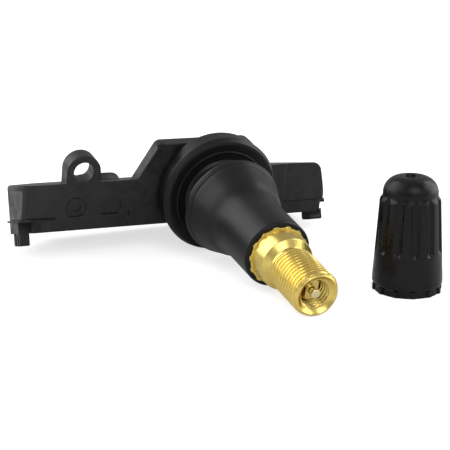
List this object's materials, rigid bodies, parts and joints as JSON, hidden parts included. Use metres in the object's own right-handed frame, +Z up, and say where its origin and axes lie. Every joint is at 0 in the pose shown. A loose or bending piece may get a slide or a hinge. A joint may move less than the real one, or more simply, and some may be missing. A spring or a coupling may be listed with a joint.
{
  "type": "tyre pressure sensor",
  "caption": "Snap-in tyre pressure sensor: a flat black housing on a rubber valve stem with a brass thread and a spring loaded valve core, its ribbed cap standing beside it.",
  "frame": {"origin": "centre of the object's base on the bench, with the sensor lying on its thread end, its flange and a rear foot and the cap standing beside it", "axes": "+Z up from the bench, +X along the housing towards its thicker end, -Y the way the valve points"},
  "size_m": [0.0608, 0.0608, 0.0213],
  "materials": {
    "housing_plastic": "fine grained, matt",
    "cover_plastic": "fine grained, matt",
    "seal_rubber": "matt",
    "board_green": "solder mask",
    "cell_steel": "plain",
    "tab_nickel": "plated",
    "chip_black": "moulded",
    "seal_red": "satin",
    "filter_white": "membrane",
    "coil_copper": "enamelled wire",
    "ferrite": "sintered",
    "component_tan": "plain",
    "valve_brass": "bright turned",
    "valve_rubber": "satin",
    "screw_steel": "plain",
    "core_brass": "turned",
    "pin_brass": "turned",
    "cap_plastic": "satin"
  },
  "bodies": {
    "sensor": {"housing": "housing_plastic", "base_cover": "cover_plastic", "lid_gasket": "seal_rubber", "circuit_board": "board_green", "coin_cell": "cell_steel", "cell_tab_lower": "tab_nickel", "cell_tab_upper": "tab_nickel", "pressure_chip": "chip_black", "port_seal": "seal_red", "port_filter": "filter_white", "wake_coil": "coil_copper", "coil_core": "ferrite", "loop_antenna": "tab_nickel", "radio_crystal": "cell_steel", "board_components": "component_tan", "valve_stem": "valve_brass", "valve_rubber": "valve_rubber", "mounting_screw": "screw_steel", "core_plug": "core_brass", "core_barrel": "core_brass", "core_gasket": "seal_red", "core_spring": "screw_steel", "valve_cap": "cap_plastic", "cap_seal": "seal_rubber"},
    "pin": {"core_pin": "pin_brass", "core_cup_washer": "seal_rubber"}
  },
  "joints": [
    {"name": "pin_press", "type": "slide", "parent": "sensor", "child": "pin", "axis": [0, 0.9844, 0.1757], "range_m": [0, 0.0009], "stiffness_N_per_m": 1500, "springref_m": -0.0004, "deforming": ["core_spring"]}
  ]
}
